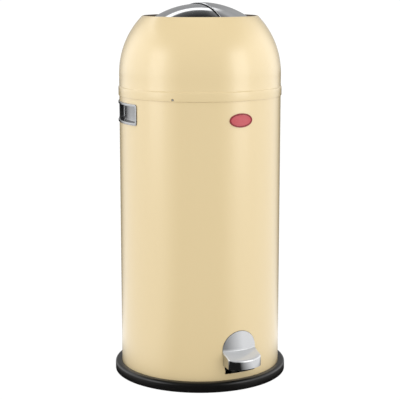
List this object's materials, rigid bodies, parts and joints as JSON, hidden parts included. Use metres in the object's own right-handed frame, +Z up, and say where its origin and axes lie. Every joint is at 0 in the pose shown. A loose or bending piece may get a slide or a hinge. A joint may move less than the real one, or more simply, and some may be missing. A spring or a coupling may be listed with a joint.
{
  "type": "pedal bin",
  "caption": "Round steel pedal bin with a domed hood, two chrome lids that part sideways, a lift-out liner bucket and a black base ring.",
  "frame": {"origin": "on the drum's axis at the floor, in the flat underside of the base tray", "axes": "+Z up along the drum's axis, the pedal towards -Y, the side grip on the -X side"},
  "size_m": [0.325, 0.3425, 0.6955],
  "materials": {
    "black_plastic": "semi-matt moulded black",
    "cream_enamel": "glossy cream powder coat",
    "bright_chrome": "polished chrome",
    "plain_steel": "bright drawn steel",
    "zinc_steel": "galvanised sheet",
    "nylon": "natural nylon",
    "red_enamel": "red enamel",
    "rubber": "black rubber"
  },
  "bodies": {
    "drum": {"base_tray": "black_plastic", "drum_shell": "cream_enamel", "locating_pin": "plain_steel", "grip_frame": "bright_chrome", "grip_cup": "bright_chrome", "badge_frame": "red_enamel", "badge_inlay": "red_enamel", "liner_platform": "black_plastic", "pedal_bracket_left": "plain_steel", "pedal_bracket_right": "plain_steel", "pedal_axle": "plain_steel", "axle_clip_left": "plain_steel", "axle_clip_right": "plain_steel", "rod_guide_lower": "nylon", "rod_guide_upper": "nylon", "return_spring": "plain_steel"},
    "pedal": {"pedal_plate": "bright_chrome", "pedal_lever": "plain_steel", "pedal_rivet_left": "plain_steel", "pedal_rivet_right": "plain_steel"},
    "rod": {"push_rod": "plain_steel", "rod_foot": "nylon", "rod_collar": "plain_steel"},
    "hood": {"hood_dome": "cream_enamel", "hinge_bracket_front": "zinc_steel", "hinge_bracket_rear": "zinc_steel", "pivot_pin_front": "plain_steel", "pivot_pin_rear": "plain_steel", "pivot_spacer_front": "nylon", "pivot_spacer_rear": "nylon"},
    "lifter": {"crosshead": "zinc_steel", "drive_pin_left": "plain_steel", "drive_pin_right": "plain_steel"},
    "right_wing": {"lid_right": "bright_chrome", "lid_right_front_ear": "plain_steel", "lid_right_rear_crank": "plain_steel", "lid_seal": "rubber"},
    "left_wing": {"lid_left": "bright_chrome", "lid_left_front_ear": "plain_steel", "lid_left_rear_crank": "plain_steel"},
    "liner": {"liner_bucket": "zinc_steel", "bail_ear_left": "plain_steel", "bail_ear_right": "plain_steel"},
    "bail": {"bail_hoop": "plain_steel", "bail_grip": "black_plastic"}
  },
  "joints": [
    {"name": "pedal_hinge", "type": "hinge", "parent": "drum", "child": "pedal", "pos_m": [0, -0.038, 0.022], "axis": [1, 0, 0], "range_deg": [0, 8], "stiffness_Nm_per_rad": 20, "springref_deg": -11.46},
    {"name": "rod_slide", "type": "slide", "parent": "drum", "child": "rod", "axis": [0, 0, 1], "range_m": [0, 0.025], "deforming": ["return_spring"]},
    {"name": "hood_lift", "type": "slide", "parent": "drum", "child": "hood", "axis": [0, 0, 1], "range_m": [0, 0.8]},
    {"name": "crosshead_slide", "type": "slide", "parent": "hood", "child": "lifter", "axis": [0, 0, 1], "range_m": [0, 0.025]},
    {"name": "right_lid_hinge", "type": "hinge", "parent": "hood", "child": "right_wing", "pos_m": [0, 0, 0.5585], "axis": [0, 1, 0], "range_deg": [0, 46]},
    {"name": "left_lid_hinge", "type": "hinge", "parent": "hood", "child": "left_wing", "pos_m": [0, 0, 0.5585], "axis": [0, 1, 0], "range_deg": [-46, 0]},
    {"name": "liner_lift", "type": "slide", "parent": "drum", "child": "liner", "axis": [0, 0, 1], "range_m": [0, 0.53]},
    {"name": "bail_swing", "type": "hinge", "parent": "liner", "child": "bail", "pos_m": [0, 0, 0.5248], "axis": [1, 0, 0], "range_deg": [0, 90]}
  ],
  "couplings": [
    {"joint": "rod_slide", "follows": "pedal_hinge", "m_per_rad": 0.179},
    {"joint": "crosshead_slide", "follows": "pedal_hinge", "m_per_rad": 0.179},
    {"joint": "right_lid_hinge", "follows": "pedal_hinge", "ratio": 5.75},
    {"joint": "left_lid_hinge", "follows": "pedal_hinge", "ratio": -5.75},
    {"joint": "liner_lift", "follows": "hood_lift", "ratio": 0.66},
    {"joint": "bail_swing", "follows": "hood_lift", "rad_per_m": 1.963}
  ]
}
